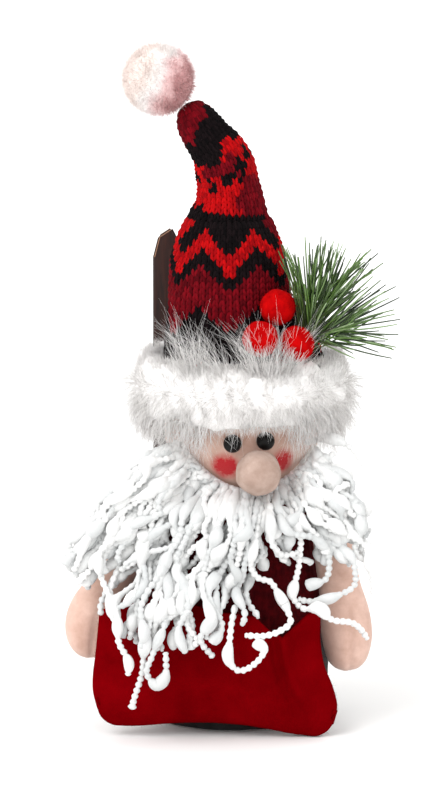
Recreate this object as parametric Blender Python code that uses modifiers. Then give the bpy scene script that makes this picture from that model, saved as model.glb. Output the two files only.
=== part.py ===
"""Tomte gnome figurine: a stuffed textile doll with a knitted hat, a yarn beard and a felt bag.

Metres, +Z up. The figure faces -Y, and left and right are the viewer's, seen from the front.
The origin is on the standing surface, at the middle of the base.
"""

import math

import bmesh
import bpy
import numpy as np
from mathutils import Matrix, Vector

MM = 0.001
SEAM_GAP = 0.4 * MM  # between pieces that touch
SMOOTH_ANGLE = math.radians(40)

# Body, from the standing surface up. Every section is an ellipse, shallower than it is wide.
BODY_DEPTH_RATIO = 0.85
FELT_WALL = 1.6 * MM
LOWER_BODY_HALF_WIDTH = 41.0 * MM
LOWER_BODY_HEIGHT = 52.0 * MM
BOARD_RADIUS = 34.0 * MM
BOARD_THICKNESS = 1.5 * MM
WEIGHT_TOP = 25.5 * MM
SWEATER_HEM_HEIGHT = 40.0 * MM
SWEATER_HALF_WIDTH = 42.5 * MM
SHOULDER_HEIGHT = 96.0 * MM

# Head and what is on it.
HEAD_CENTRE = Vector((3.0, 0.0, 128.0)) * MM
HEAD_RADIUS = 34.0 * MM
FLEECE_WALL = 1.2 * MM
EYE_RADIUS = 4.0 * MM
EYE_LEFT_CENTRE = Vector((-1.1, -34.5, 126.1)) * MM
EYE_RIGHT_CENTRE = Vector((12.9, -33.3, 127.0)) * MM
NOSE_RADIUS = 9.8 * MM
NOSE_CENTRE = Vector((9.9, -41.9, 114.8)) * MM
BRIM_RING_RADIUS = 41.2 * MM
BRIM_HALF_THICKNESS = 4.7 * MM
BRIM_HALF_HEIGHT = 13.4 * MM
BRIM_HEIGHT = 147.0 * MM

# Hat. The tip bends at the pinch, about an axis that runs front to back.
KNIT_WALL = 1.7 * MM
HAT_BEND = Vector((-1.8, 0.0, 226.5)) * MM
HAT_BALL_RADIUS = 11.8 * MM
STAY_WIRE_RADIUS = 0.8 * MM
POMPOM_CENTRE = Vector((-32.7, 0.0, 277.2)) * MM
POMPOM_RADIUS = 15.3 * MM
HAT_TIP_CENTRE = Vector((-16.2, 0.0, 263.9)) * MM
HAT_TIP_RADIUS = 5.2 * MM

# Arms, which swing outwards about an axis that runs front to back.
SHOULDER_RIGHT = Vector((40.0, -20.0, 92.0)) * MM
SHOULDER_LEFT = Vector((-38.0, -20.0, 92.0)) * MM
ARM_DEPTH_RATIO = 0.75

# Felt bag: two panels sewn along the sides and the bottom.
BAG_LEFT = -60.0 * MM
BAG_RIGHT = 43.0 * MM
BAG_BOTTOM = 1.0 * MM
BAG_BACK_Y = -36.6 * MM
BAG_FRONT_BULGE = 10.0 * MM
BAG_FELT = 1.8 * MM

# Pine pick and berries, tucked between the hat and the brim.
PICK_FOOT = Vector((31.0, -20.0, 159.5)) * MM
PICK_TOP = Vector((51.0, -25.0, 191.0)) * MM
PICK_WIRE_RADIUS = 0.8 * MM
NEEDLE_ROWS = 7
NEEDLES_PER_ROW = 7
NEEDLE_WIDTH = 0.7 * MM
NEEDLE_LONGEST = 42.0 * MM
NEEDLE_SHORTEST = 25.0 * MM
BERRY_RADIUS = 7.8 * MM
BERRY_WIRE_RADIUS = 0.5 * MM
BERRY_CENTRES = {
    "top": Vector((18.0, -27.0, 183.3)) * MM,
    "front": Vector((10.6, -36.4, 171.2)) * MM,
    "side": Vector((25.9, -32.0, 168.4)) * MM,
}
BERRY_WIRE_FEET = {
    "top": Vector((17.2, -31.0, 161.0)) * MM,
    "front": Vector((12.4, -33.6, 158.6)) * MM,
    "side": Vector((23.6, -30.0, 157.6)) * MM,
}

# Wooden plank behind the figure, leaning a little backwards.
PLANK_HALF_WIDTH = 7.8 * MM
PLANK_THICKNESS = 4.5 * MM
PLANK_HEIGHT = 208.0 * MM
PLANK_MIDDLE_X = -28.0 * MM
PLANK_FOOT_Y = 29.4 * MM
PLANK_LEAN = math.atan(0.0745)


def clear_scene():
    for old in list(bpy.data.objects):
        bpy.data.objects.remove(old, do_unlink=True)


def collection(name):
    made = bpy.data.collections.new(name)
    bpy.context.scene.collection.children.link(made)
    return made


def material(name, colour, roughness, metallic=0.0):
    made = bpy.data.materials.new(name)
    made.use_nodes = True
    shader = made.node_tree.nodes["Principled BSDF"]
    shader.inputs["Base Color"].default_value = (*colour, 1.0)
    shader.inputs["Roughness"].default_value = roughness
    shader.inputs["Metallic"].default_value = metallic
    made.diffuse_color = (*colour, 1.0)
    return made


def add_object(name, mesh, finish, home):
    made = bpy.data.objects.new(name, mesh)
    made.data.materials.clear()
    made.data.materials.append(finish)
    home.objects.link(made)
    return made


def smooth(piece):
    piece.data.shade_smooth()
    piece.data.set_sharp_from_angle(angle=SMOOTH_ANGLE)


def baked(piece):
    """The object again as a plain mesh of what its modifiers or its curve make."""
    graph = bpy.context.evaluated_depsgraph_get()
    mesh = bpy.data.meshes.new_from_object(piece.evaluated_get(graph))
    name, place = piece.name, piece.matrix_world.copy()
    finish, home = piece.active_material, piece.users_collection[0]
    bpy.data.objects.remove(piece, do_unlink=True)
    form = bmesh.new()
    form.from_mesh(mesh)
    bmesh.ops.remove_doubles(form, verts=form.verts, dist=1e-6)
    form.to_mesh(mesh)
    form.free()
    made = add_object(name, mesh, finish, home)
    made.matrix_world = place
    return made


def solidify(piece, wall):
    """Gives an open skin its wall, on the inner side."""
    shell = piece.modifiers.new("wall", "SOLIDIFY")
    shell.thickness = wall
    shell.offset = -1.0
    shell.use_even_offset = True
    return piece


def cut(piece, cutter):
    hole = piece.modifiers.new("cut", "BOOLEAN")
    hole.operation = "DIFFERENCE"
    hole.solver = "EXACT"
    hole.object = cutter
    return piece


def make_cutter(piece):
    piece.hide_render = True
    piece.display_type = "WIRE"
    return piece


def turned(name, profile, finish, home, depth_ratio=1.0, steps=24):
    """A profile of (radius, height) pairs, top to bottom, turned about Z and then made shallower."""
    mesh = bpy.data.meshes.new(name)
    edges = [(i, i + 1) for i in range(len(profile) - 1)]
    mesh.from_pydata([(r, 0.0, z) for r, z in profile], edges, [])
    piece = add_object(name, mesh, finish, home)
    screw = piece.modifiers.new("turn", "SCREW")
    screw.axis = "Z"
    screw.steps = steps
    screw.render_steps = steps
    screw.use_merge_vertices = True
    screw.merge_threshold = 1e-5
    piece = baked(piece)
    piece.data.transform(Matrix.Diagonal((1.0, depth_ratio, 1.0, 1.0)))
    smooth(piece)
    return piece


def ball(name, centre, radius, finish, home, segments=20, rings=12):
    form = bmesh.new()
    bmesh.ops.create_uvsphere(form, u_segments=segments, v_segments=rings, radius=radius)
    mesh = bpy.data.meshes.new(name)
    form.to_mesh(mesh)
    form.free()
    piece = add_object(name, mesh, finish, home)
    piece.location = centre
    smooth(piece)
    return piece


def loft(name, stations, finish, home, sides=20, first_closed=True, last_closed=True):
    """Skins a row of ellipses. A station is (centre, half width, half depth), and each ellipse is
    square to the way between its neighbours, with its depth kept along Y."""
    centres = [Vector(station[0]) for station in stations]
    corners = []
    for index, (_, half_width, half_depth) in enumerate(stations):
        before = centres[max(index - 1, 0)]
        after = centres[min(index + 1, len(centres) - 1)]
        along = (after - before).normalized()
        across = Vector((0.0, 1.0, 0.0)).cross(along).normalized()
        deep = along.cross(across).normalized()
        for step in range(sides):
            turn = 2.0 * math.pi * step / sides
            offset = across * half_width * math.cos(turn) + deep * half_depth * math.sin(turn)
            corners.append(centres[index] + offset)
    faces = []
    for ring in range(len(stations) - 1):
        for step in range(sides):
            low, high = ring * sides, (ring + 1) * sides
            beside = (step + 1) % sides
            faces.append((low + step, low + beside, high + beside, high + step))
    if first_closed:
        faces.append(tuple(reversed(range(sides))))
    if last_closed:
        faces.append(tuple(range((len(stations) - 1) * sides, len(stations) * sides)))
    mesh = bpy.data.meshes.new(name)
    mesh.from_pydata(corners, [], faces)
    piece = add_object(name, mesh, finish, home)
    smooth(piece)
    return piece


def wire(name, points, radius, finish, home):
    """A round wire through the points, with closed ends."""
    path = bpy.data.curves.new(name, "CURVE")
    path.dimensions = "3D"
    path.bevel_depth = radius
    path.bevel_resolution = 2
    path.use_fill_caps = True
    line = path.splines.new("POLY")
    line.points.add(len(points) - 1)
    for point, place in zip(line.points, points):
        point.co = (*place, 1.0)
    piece = add_object(name, path, finish, home)
    return baked(piece)


def curved_sheet(name, across, up, place, facing, finish, home):
    """An open grid of across by up squares, with corners at place(u, v) for u and v from 0 to 1,
    whose outer side looks along facing."""
    form = bmesh.new()
    bmesh.ops.create_grid(form, x_segments=across, y_segments=up, size=0.5)
    for corner in form.verts:
        corner.co = place(corner.co.x + 0.5, corner.co.y + 0.5)
    form.normal_update()
    if sum(face.normal.dot(facing) for face in form.faces) < 0.0:
        bmesh.ops.reverse_faces(form, faces=form.faces)
    mesh = bpy.data.meshes.new(name)
    form.to_mesh(mesh)
    form.free()
    piece = add_object(name, mesh, finish, home)
    smooth(piece)
    return piece


def between(a, b, share):
    return a + (b - a) * share


def make_materials():
    return {
        "charcoal_felt": material("charcoal_felt", (0.035, 0.034, 0.033), 0.95),
        "board": material("board", (0.35, 0.30, 0.24), 0.90),
        "pellet_bag": material("pellet_bag", (0.75, 0.73, 0.70), 0.90),
        "fibre_fill": material("fibre_fill", (0.90, 0.90, 0.88), 1.00),
        "sweater_knit": material("sweater_knit", (0.16, 0.008, 0.014), 0.95),
        "flesh_fleece": material("flesh_fleece", (0.58, 0.33, 0.25), 0.95),
        "wool_nose": material("wool_nose", (0.62, 0.39, 0.31), 0.95),
        "black_bead": material("black_bead", (0.006, 0.006, 0.006), 0.12),
        "white_yarn": material("white_yarn", (0.88, 0.88, 0.87), 0.90),
        "cloth_tape": material("cloth_tape", (0.82, 0.80, 0.78), 0.90),
        "white_fur": material("white_fur", (0.90, 0.89, 0.88), 0.90),
        "hat_knit": material("hat_knit", (0.30, 0.010, 0.016), 0.95),
        "steel_wire": material("steel_wire", (0.55, 0.55, 0.55), 0.35, 1.0),
        "red_felt": material("red_felt", (0.30, 0.006, 0.010), 0.95),
        "berry_felt": material("berry_felt", (0.55, 0.004, 0.010), 0.90),
        "green_pvc": material("green_pvc", (0.07, 0.13, 0.05), 0.45),
        "brown_wood": material("brown_wood", (0.05, 0.020, 0.014), 0.40),
    }


def make_body(finish, home):
    wide = LOWER_BODY_HALF_WIDTH
    base = [
        (wide - 1.8 * MM, LOWER_BODY_HEIGHT),
        (wide - 0.7 * MM, 40.0 * MM),
        (wide, 27.0 * MM),
        (wide - 0.6 * MM, 13.0 * MM),
        (wide - 2.6 * MM, 4.5 * MM),
        (wide - 5.6 * MM, 0.0),
        (0.0, 0.0),
    ]
    lower = turned("lower_body", base, finish["charcoal_felt"], home, BODY_DEPTH_RATIO, 28)
    solidify(lower, FELT_WALL)

    board_low = FELT_WALL + SEAM_GAP
    board_high = board_low + BOARD_THICKNESS
    board = [
        (0.0, board_high),
        (BOARD_RADIUS, board_high),
        (BOARD_RADIUS, board_low),
        (0.0, board_low),
    ]
    turned("base_board", board, finish["board"], home, BODY_DEPTH_RATIO, 24)

    bag_low = board_high + SEAM_GAP
    bag = [
        (0.0, WEIGHT_TOP),
        (24.0 * MM, WEIGHT_TOP - 1.0 * MM),
        (33.0 * MM, WEIGHT_TOP - 5.0 * MM),
        (36.2 * MM, 14.0 * MM),
        (34.0 * MM, bag_low + 2.5 * MM),
        (28.0 * MM, bag_low),
        (0.0, bag_low),
    ]
    turned("weight_bag", bag, finish["pellet_bag"], home, BODY_DEPTH_RATIO, 20)

    filling = [
        (0.0, SHOULDER_HEIGHT - 2.8 * MM),
        (15.0 * MM, SHOULDER_HEIGHT - 3.2 * MM),
        (27.5 * MM, 88.0 * MM),
        (33.5 * MM, 78.0 * MM),
        (36.3 * MM, 64.0 * MM),
        (36.8 * MM, 48.0 * MM),
        (36.8 * MM, 30.0 * MM),
        (35.0 * MM, WEIGHT_TOP + SEAM_GAP),
        (0.0, WEIGHT_TOP + SEAM_GAP),
    ]
    turned("body_fill", filling, finish["fibre_fill"], home, BODY_DEPTH_RATIO, 20)

    knit = [
        (16.5 * MM, SHOULDER_HEIGHT),
        (25.0 * MM, SHOULDER_HEIGHT - 2.2 * MM),
        (32.0 * MM, SHOULDER_HEIGHT - 7.0 * MM),
        (37.0 * MM, 78.0 * MM),
        (39.8 * MM, 64.0 * MM),
        (SWEATER_HALF_WIDTH, 50.0 * MM),
        (SWEATER_HALF_WIDTH, SWEATER_HEM_HEIGHT),
    ]
    sweater = turned("sweater", knit, finish["sweater_knit"], home, BODY_DEPTH_RATIO, 28)
    solidify(sweater, FELT_WALL)


def make_head(finish, home, cutters):
    neck_angle = math.radians(24)
    arc = np.linspace(0.0, math.pi - neck_angle, 12)
    skin_profile = [(HEAD_RADIUS * math.sin(a), HEAD_RADIUS * math.cos(a)) for a in arc]
    skin = turned("head_skin", skin_profile, finish["flesh_fleece"], home, 1.0, 28)
    skin.location = HEAD_CENTRE
    solidify(skin, FLEECE_WALL)
    fill_radius = HEAD_RADIUS - FLEECE_WALL - 2.0 * SEAM_GAP
    filling = ball("head_fill", HEAD_CENTRE, fill_radius, finish["fibre_fill"], home, 20, 12)

    for name, centre in (("eye_left", EYE_LEFT_CENTRE), ("eye_right", EYE_RIGHT_CENTRE)):
        ball(name, centre, EYE_RADIUS, finish["black_bead"], home, 14, 8)
        hollow = EYE_RADIUS + SEAM_GAP
        socket = ball(name + "_socket", centre, hollow, finish["black_bead"], cutters, 14, 8)
        make_cutter(socket)
        cut(skin, socket)
        cut(filling, socket)
    ball("nose", NOSE_CENTRE, NOSE_RADIUS, finish["wool_nose"], home, 18, 12)

    bpy.ops.mesh.primitive_torus_add(
        major_radius=BRIM_RING_RADIUS,
        minor_radius=BRIM_HALF_THICKNESS,
        major_segments=32,
        minor_segments=10,
        location=(0.0, 0.0, 0.0),
    )
    ring = bpy.context.object
    mesh = ring.data.copy()
    bpy.data.objects.remove(ring, do_unlink=True)
    mesh.transform(Matrix.Diagonal((1.0, 1.0, BRIM_HALF_HEIGHT / BRIM_HALF_THICKNESS, 1.0)))
    brim = add_object("fur_brim", mesh, finish["white_fur"], home)
    brim.location = (HEAD_CENTRE.x, HEAD_CENTRE.y, BRIM_HEIGHT)
    smooth(brim)


def on_face(turn_degrees, lift_degrees, distance):
    """A point off the head's centre, at an angle round it from straight ahead and an angle up."""
    turn, lift = math.radians(turn_degrees), math.radians(lift_degrees)
    level = math.cos(lift)
    ahead = Vector((math.sin(turn) * level, -math.cos(turn) * level, math.sin(lift)))
    return HEAD_CENTRE + ahead * distance


def make_beard(finish, home):
    """The cloth strip under the cheeks and nose, and the three falls of yarn as soft slabs."""
    strip_distance = HEAD_RADIUS + 1.2 * MM
    face_turn = 8.0
    strip = []
    for step in range(13):
        turn = -54.0 + 9.0 * step
        lift = -44.0 + 34.0 * (turn / 54.0) ** 2
        strip.append(on_face(face_turn + turn, lift, strip_distance))
    wire("beard_backing", strip, 0.8 * MM, finish["cloth_tape"], home)

    left = [
        ((-15.0, -38.5, 125.5), 1.5, 1.2),
        ((-18.0, -38.5, 121.5), 6.0, 3.2),
        ((-27.0, -38.5, 110.0), 13.0, 4.4),
        ((-38.0, -38.2, 97.0), 17.0, 4.6),
        ((-49.0, -38.0, 84.0), 18.0, 4.6),
        ((-57.5, -38.0, 73.0), 14.5, 4.4),
        ((-61.5, -38.0, 65.0), 8.0, 3.2),
        ((-63.0, -38.0, 61.5), 2.0, 1.2),
    ]
    centre = [
        ((8.0, -49.0, 103.5), 5.0, 1.5),
        ((7.0, -49.0, 100.5), 13.0, 3.6),
        ((3.0, -49.0, 90.0), 22.0, 4.4),
        ((-4.0, -50.5, 78.0), 27.0, 4.4),
        ((-10.0, -54.0, 65.0), 27.0, 4.0),
        ((-15.0, -55.4, 52.0), 23.0, 4.0),
        ((-22.0, -55.4, 38.0), 17.0, 4.0),
        ((-31.0, -55.2, 25.0), 11.0, 3.8),
        ((-38.0, -54.8, 16.0), 5.0, 3.2),
        ((-40.0, -54.6, 13.5), 1.5, 1.2),
    ]
    right = [
        ((25.0, -37.6, 126.5), 1.5, 1.2),
        ((28.0, -37.8, 122.5), 5.5, 3.2),
        ((37.0, -38.0, 110.0), 11.0, 4.4),
        ((44.0, -38.0, 97.0), 13.5, 4.6),
        ((48.0, -38.0, 84.0), 12.5, 4.6),
        ((50.0, -38.0, 73.0), 9.0, 4.0),
        ((51.0, -38.0, 64.0), 4.5, 2.6),
        ((51.0, -38.0, 61.5), 1.5, 1.2),
    ]
    for name, fall in (("beard_left", left), ("beard_centre", centre), ("beard_right", right)):
        stations = [(Vector(place) * MM, wide * MM, deep * MM) for place, wide, deep in fall]
        loft(name, stations, finish["white_yarn"], home, 16)


def hat_stations(rows, inset=0.0):
    """Stations of a round section from rows of (x, height, radius) in millimetres."""
    found = []
    for x, height, radius in rows:
        thin = max(radius * MM - inset, 0.4 * MM)
        found.append((Vector((x, 0.0, height)) * MM, thin, thin))
    return found


def hat_lower_rows():
    return [
        (3.0, 137.0, 35.8),
        (2.7, 151.0, 35.2),
        (1.2, 160.0, 33.0),
        (-1.0, 168.5, 29.2),
        (-2.2, 177.0, 25.9),
        (-2.5, 187.0, 24.8),
        (-2.3, 200.0, 23.6),
        (-2.6, 209.0, 20.8),
        (-2.6, 218.0, 17.0),
    ]


def hat_upper_rows():
    return [
        (-1.8, 226.5, 13.0),
        (-3.2, 236.0, 12.6),
        (-6.2, 246.5, 11.6),
        (-10.6, 256.0, 9.2),
    ]


def make_hat(finish, home, cutters):
    knit = finish["hat_knit"]
    lower_rows = hat_lower_rows()
    lower = loft("hat_knit_lower", hat_stations(lower_rows), knit, home, 28, False, False)
    solidify(lower, KNIT_WALL)

    inset = KNIT_WALL + 2.0 * SEAM_GAP
    head_top = HEAD_CENTRE.z + HEAD_RADIUS
    fill_rows = [row for row in lower_rows if row[1] * MM > head_top]
    fill_low = hat_stations(fill_rows, inset)
    first = (Vector((0.4 * MM, 0.0, head_top + SEAM_GAP)), 28.0 * MM, 28.0 * MM)
    lower_fill = loft("hat_fill_lower", [first] + fill_low, finish["fibre_fill"], home, 20)

    bowl = ball("hat_bowl", HAT_BEND, HAT_BALL_RADIUS + SEAM_GAP, knit, cutters, 24, 16)
    make_cutter(bowl)
    cut(lower_fill, bowl)

    tip_direction = (POMPOM_CENTRE - HAT_TIP_CENTRE).normalized()
    dome = []
    for angle in (0.0, 35.0, 62.0, 84.0):
        reach = HAT_TIP_RADIUS * math.sin(math.radians(angle))
        radius = HAT_TIP_RADIUS * math.cos(math.radians(angle))
        dome.append((HAT_TIP_CENTRE + tip_direction * reach, radius, radius))
    upper_stations = hat_stations(hat_upper_rows()) + dome
    upper = loft("hat_knit_upper", upper_stations, knit, home, 24, False, True)
    solidify(upper, KNIT_WALL)

    ball_end = []
    for angle in (86.0, 62.0, 38.0, 16.0):
        drop = HAT_BALL_RADIUS * math.sin(math.radians(angle))
        radius = HAT_BALL_RADIUS * math.cos(math.radians(angle))
        ball_end.append((HAT_BEND - Vector((0.0, 0.0, drop)), radius, radius))
    upper_fill_stations = ball_end + hat_stations(hat_upper_rows(), inset)
    fill_end = between(upper_fill_stations[-1][0], HAT_TIP_CENTRE, 0.8)
    upper_fill_stations.append((fill_end, 4.0 * MM, 4.0 * MM))
    upper_fill = loft("hat_fill_upper", upper_fill_stations, finish["fibre_fill"], home, 18)

    lower_path = ((0.4, 166.0), (-2.2, 180.0), (-2.3, 196.0), (-2.0, 213.6))
    upper_path = ((-1.9, 217.5), (-2.4, 232.0), (-5.6, 246.0), (-10.4, 255.5))
    for name, route, filling in (
        ("hat_wire_lower", lower_path, lower_fill),
        ("hat_wire_upper", upper_path, upper_fill),
    ):
        path = [Vector((x, 0.0, z)) * MM for x, z in route]
        wire(name, path, STAY_WIRE_RADIUS, finish["steel_wire"], home)
        start = path[0] - (path[1] - path[0]).normalized() * 6.0 * MM
        end = path[-1] + (path[-1] - path[-2]).normalized() * 1.0 * MM
        channel_path = [start] + path[1:-1] + [end]
        channel_radius = STAY_WIRE_RADIUS + SEAM_GAP
        channel = wire(name + "_channel", channel_path, channel_radius, finish["steel_wire"], cutters)
        make_cutter(channel)
        cut(filling, channel)

    ball("pompom", POMPOM_CENTRE, POMPOM_RADIUS, finish["white_fur"], home, 20, 12)


def arm_rows(side):
    """Rows of (x, y, height, half width) down an arm, in millimetres, from the shoulder to the mitten."""
    if side == "right":
        return [
            (40.0, -20.0, 93.5, 7.6),
            (41.2, -20.8, 83.0, 8.4),
            (43.4, -21.6, 70.0, 9.0),
            (45.6, -22.0, 59.0, 9.6),
            (47.4, -22.0, 49.0, 10.8),
            (48.0, -22.0, 39.0, 10.9),
            (48.0, -22.0, 30.5, 8.8),
            (48.0, -22.0, 26.0, 5.4),
            (48.0, -22.0, 24.4, 2.2),
        ]
    return [
        (-38.4, -20.0, 93.5, 7.6),
        (-42.2, -20.8, 83.0, 8.4),
        (-49.4, -21.6, 70.5, 9.0),
        (-56.0, -22.0, 60.5, 9.8),
        (-60.4, -22.0, 50.5, 10.9),
        (-62.0, -22.0, 41.5, 10.6),
        (-62.6, -22.0, 35.0, 8.2),
        (-62.9, -22.0, 31.4, 5.0),
        (-63.0, -22.0, 30.0, 2.0),
    ]


def arm_stations(rows, inset=0.0):
    found = []
    for x, y, height, half_width in rows:
        wide = max(half_width * MM - inset, 0.8 * MM)
        deep = max(half_width * ARM_DEPTH_RATIO * MM - inset, 0.6 * MM)
        found.append((Vector((x, y, height)) * MM, wide, deep))
    return found


def make_arm(side, shoulder, finish, home):
    rows = arm_rows(side)
    skin = loft("hand_" + side, arm_stations(rows), finish["flesh_fleece"], home, 18, False, True)
    solidify(skin, FLEECE_WALL)
    inner = arm_stations(rows[:-2], FLEECE_WALL + 2.0 * SEAM_GAP)
    loft("arm_fill_" + side, inner, finish["fibre_fill"], home, 12)

    cuff = between(Vector(rows[1][:3]), Vector(rows[2][:3]), 0.45) * MM
    sleeve_rows = [
        (shoulder + Vector((0.0, 0.0, 8.2 * MM)), 3.0),
        (shoulder + Vector((0.0, 0.0, 6.6 * MM)), 7.2),
        (shoulder + Vector((0.0, 0.0, 2.6 * MM)), 10.0),
        (between(shoulder, cuff, 0.15), 10.6),
        (between(shoulder, cuff, 0.6), 11.2),
        (cuff, 11.8),
    ]
    stations = []
    for place, wide in sleeve_rows:
        deep = wide - 2.0 if wide > 4.0 else 2.2
        stations.append((place, wide * MM, deep * MM))
    sleeve = loft("sleeve_" + side, stations, finish["sweater_knit"], home, 18, True, False)
    solidify(sleeve, FLEECE_WALL)


def bag_top_height(u):
    """The height of the front panel's top edge: a low bump near the left, and a notch right of the middle."""
    bump = 6.0 * MM * math.exp(-(((u - 0.17) / 0.12) ** 2))
    notch = 8.0 * MM * math.exp(-(((u - 0.79) / 0.07) ** 2))
    return 56.5 * MM + bump - notch


def bag_front_place(u, v):
    x = BAG_LEFT + (BAG_RIGHT - BAG_LEFT) * u
    top = bag_top_height(u)
    z = BAG_BOTTOM + (top - BAG_BOTTOM) * v
    side = 1.0 - abs(2.0 * u - 1.0) ** 3.2
    rise = min(1.0, math.sqrt(max(v, 0.0) / 0.35))
    bulge = BAG_FRONT_BULGE * side * rise
    return Vector((x, BAG_BACK_Y - 2.0 * BAG_FELT - SEAM_GAP - bulge, z))


def bag_back_place(u, v):
    x = BAG_LEFT + (BAG_RIGHT - BAG_LEFT) * u
    z = BAG_BOTTOM + 52.0 * MM * v
    return Vector((x, BAG_BACK_Y, z))


def make_bag(finish, home):
    ahead = Vector((0.0, -1.0, 0.0))
    red = finish["red_felt"]
    solidify(curved_sheet("bag_front", 18, 7, bag_front_place, ahead, red, home), BAG_FELT)
    solidify(curved_sheet("bag_back", 6, 2, bag_back_place, -ahead, red, home), BAG_FELT)


def nearest_on_segment(start, end, point):
    way = end - start
    share = max(0.0, min(1.0, (point - start).dot(way) / way.length_squared))
    return start + way * share


def needle_is_clear(root, tip):
    """True where a needle passes the berries, the hat and the brim."""
    for centre in BERRY_CENTRES.values():
        if (nearest_on_segment(root, tip, centre) - centre).length < BERRY_RADIUS + 1.6 * MM:
            return False
    heights = [row[1] * MM for row in hat_lower_rows()]
    middles = [row[0] * MM for row in hat_lower_rows()]
    radii = [row[2] * MM for row in hat_lower_rows()]
    for share in np.linspace(0.0, 1.0, 12):
        point = between(root, tip, share)
        off_hat = Vector((point.x - np.interp(point.z, heights, middles), point.y)).length
        if off_hat < np.interp(point.z, heights, radii) + 1.2 * MM:
            return False
        off_brim = abs(Vector((point.x - HEAD_CENTRE.x, point.y)).length - BRIM_RING_RADIUS)
        if off_brim < BRIM_HALF_THICKNESS + 1.5 * MM and point.z < BRIM_HEIGHT + BRIM_HALF_HEIGHT + 1.5 * MM:
            return False
    return True


def make_pick(finish, home):
    """The stem wire, with the needles wound into it: one body, joined by a union with itself."""
    along = (PICK_TOP - PICK_FOOT).normalized()
    side = along.orthogonal().normalized()
    ahead = along.cross(side)
    middle = between(PICK_FOOT, PICK_TOP, 0.5)
    sprig = wire("pine_sprig", [PICK_FOOT, middle, PICK_TOP], PICK_WIRE_RADIUS, finish["green_pvc"], home)

    form = bmesh.new()
    form.from_mesh(sprig.data)
    for row in range(NEEDLE_ROWS):
        share = row / (NEEDLE_ROWS - 1)
        spread = math.radians(between(54.0, 12.0, share))
        length = between(NEEDLE_LONGEST, NEEDLE_SHORTEST, share)
        for index in range(NEEDLES_PER_ROW):
            turn = 2.0 * math.pi * (index + 0.5 * (row % 2)) / NEEDLES_PER_ROW
            out = side * math.cos(turn) + ahead * math.sin(turn)
            way = (along * math.cos(spread) + out * math.sin(spread)).normalized()
            root = between(PICK_FOOT, PICK_TOP, 0.12 + 0.80 * share) + out * PICK_WIRE_RADIUS * 0.2
            if not needle_is_clear(root, root + way * length):
                continue
            facing = way.to_track_quat("Z", "Y").to_matrix().to_4x4()
            bmesh.ops.create_cone(
                form,
                cap_ends=True,
                segments=4,
                radius1=NEEDLE_WIDTH / 2.0,
                radius2=NEEDLE_WIDTH / 6.0,
                depth=length,
                matrix=Matrix.Translation(root + way * length / 2.0) @ facing,
            )
    form.to_mesh(sprig.data)
    form.free()
    seed_mesh = bpy.data.meshes.new("sprig_seed")
    seed_form = bmesh.new()
    bmesh.ops.create_cone(
        seed_form, cap_ends=True, segments=8, radius1=0.5 * MM, radius2=0.5 * MM, depth=1.0 * MM
    )
    seed_form.to_mesh(seed_mesh)
    seed_form.free()
    seed = add_object("sprig_seed", seed_mesh, finish["green_pvc"], bpy.data.collections["cutters"])
    seed.location = middle
    make_cutter(seed)
    union = sprig.modifiers.new("join", "BOOLEAN")
    union.operation = "UNION"
    union.solver = "EXACT"
    union.use_self = True
    union.object = seed


def make_berries(finish, home):
    """Three felted berries, each on a short wire that ends against it."""
    for place, centre in BERRY_CENTRES.items():
        ball("berry_" + place, centre, BERRY_RADIUS, finish["berry_felt"], home, 16, 10)
        foot = BERRY_WIRE_FEET[place]
        end = centre + (foot - centre).normalized() * (BERRY_RADIUS + SEAM_GAP)
        path = [foot, between(foot, end, 0.5), end]
        wire("berry_wire_" + place, path, BERRY_WIRE_RADIUS, finish["steel_wire"], home)


def make_plank(finish, home):
    half = PLANK_HALF_WIDTH
    top = PLANK_HEIGHT
    outline = [
        (-half, 0.6 * MM),
        (half, 0.6 * MM),
        (half, top - 16.0 * MM),
        (half * 0.55, top - 7.5 * MM),
        (half * 0.05, top),
        (-half * 0.70, top - 3.8 * MM),
        (-half, top - 13.0 * MM),
    ]
    path = bpy.data.curves.new("back_plank", "CURVE")
    path.dimensions = "2D"
    path.fill_mode = "BOTH"
    path.extrude = PLANK_THICKNESS / 2.0
    line = path.splines.new("POLY")
    line.points.add(len(outline) - 1)
    for point, (x, z) in zip(line.points, outline):
        point.co = (x, z, 0.0, 1.0)
    line.use_cyclic_u = True
    plank = baked(add_object("back_plank", path, finish["brown_wood"], home))
    stand_up = Matrix.Rotation(math.radians(90.0) - PLANK_LEAN, 4, "X")
    place = Matrix.Translation((PLANK_MIDDLE_X, PLANK_FOOT_Y + PLANK_THICKNESS / 2.0, 0.0))
    plank.matrix_world = place @ stand_up
    return plank


def main():
    clear_scene()
    home = collection("tomte_gnome")
    cutters = collection("cutters")
    finish = make_materials()
    make_body(finish, home)
    make_head(finish, home, cutters)
    make_beard(finish, home)
    make_hat(finish, home, cutters)
    make_arm("right", SHOULDER_RIGHT, finish, home)
    make_arm("left", SHOULDER_LEFT, finish, home)
    make_bag(finish, home)
    make_pick(finish, home)
    make_berries(finish, home)
    make_plank(finish, home)


main()
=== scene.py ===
import math

import bmesh
import bpy
import numpy as np
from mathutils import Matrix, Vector, noise


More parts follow.
